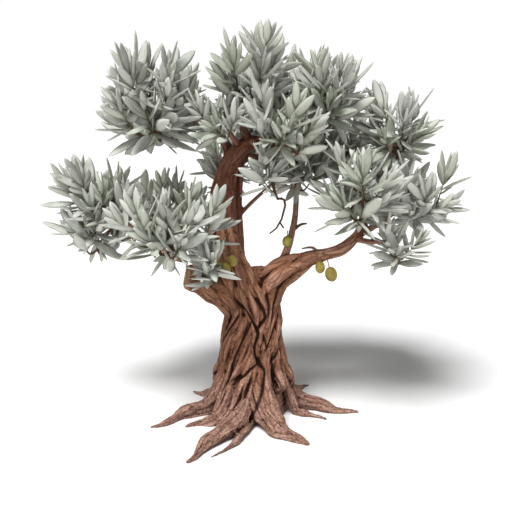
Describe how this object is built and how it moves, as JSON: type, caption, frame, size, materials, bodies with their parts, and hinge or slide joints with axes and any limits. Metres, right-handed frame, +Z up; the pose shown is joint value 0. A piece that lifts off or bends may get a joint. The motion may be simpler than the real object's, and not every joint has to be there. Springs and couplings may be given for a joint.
{
  "type": "olive tree",
  "caption": "Old, low olive tree: twisted trunk on a star of surface roots, heavy crooked boughs and an open, lobed grey-green crown.",
  "frame": {"origin": "middle of the flat cut under the trunk, at ground level", "axes": "+Z up the trunk; -Y is the tree's front, with the cut limb to the left and the long bough to the right; +X to the right"},
  "size_m": [4.1773, 2.6798, 3.9698],
  "materials": {
    "bark": "rough furrowed bark",
    "branch": "smoother young bark",
    "leaves": "matt grey-green leaves"
  },
  "bodies": {
    "root": {"trunk": "bark", "leader": "bark", "rear_leader": "bark", "stub": "bark", "right_bough": "bark", "upper_left_bough": "branch", "centre_left_bough": "branch", "top_bough": "branch", "top_right_bough": "branch", "front_bough": "branch", "hanging_bough": "branch", "slender_bough": "branch", "inner_bough": "branch", "right_upper_bough": "branch", "right_outer_bough": "branch", "right_front_bough": "branch", "right_low_bough": "branch", "back_right_low_bough": "branch", "left_bough": "branch", "stub_bough": "branch", "left_outer_bough": "branch", "back_left_bough": "branch", "rear_left_bough": "branch", "back_upper_left_bough": "branch", "back_top_bough": "branch", "back_right_bough": "branch", "foliage_upper_left": "leaves", "foliage_top": "leaves", "foliage_centre_front": "leaves", "foliage_centre_left": "leaves", "foliage_top_right": "leaves", "foliage_right_upper": "leaves", "foliage_right_outer": "leaves", "foliage_right_front": "leaves", "foliage_right_low": "leaves", "foliage_right_inner": "leaves", "foliage_left_outer": "leaves", "foliage_left_front": "leaves", "foliage_stub": "leaves", "foliage_hanging": "leaves", "foliage_rear_left": "leaves", "foliage_back_upper_left": "leaves", "foliage_back_left": "leaves", "foliage_back": "leaves", "foliage_back_top": "leaves", "foliage_back_right": "leaves", "foliage_back_right_low": "leaves"}
  },
  "joints": []
}
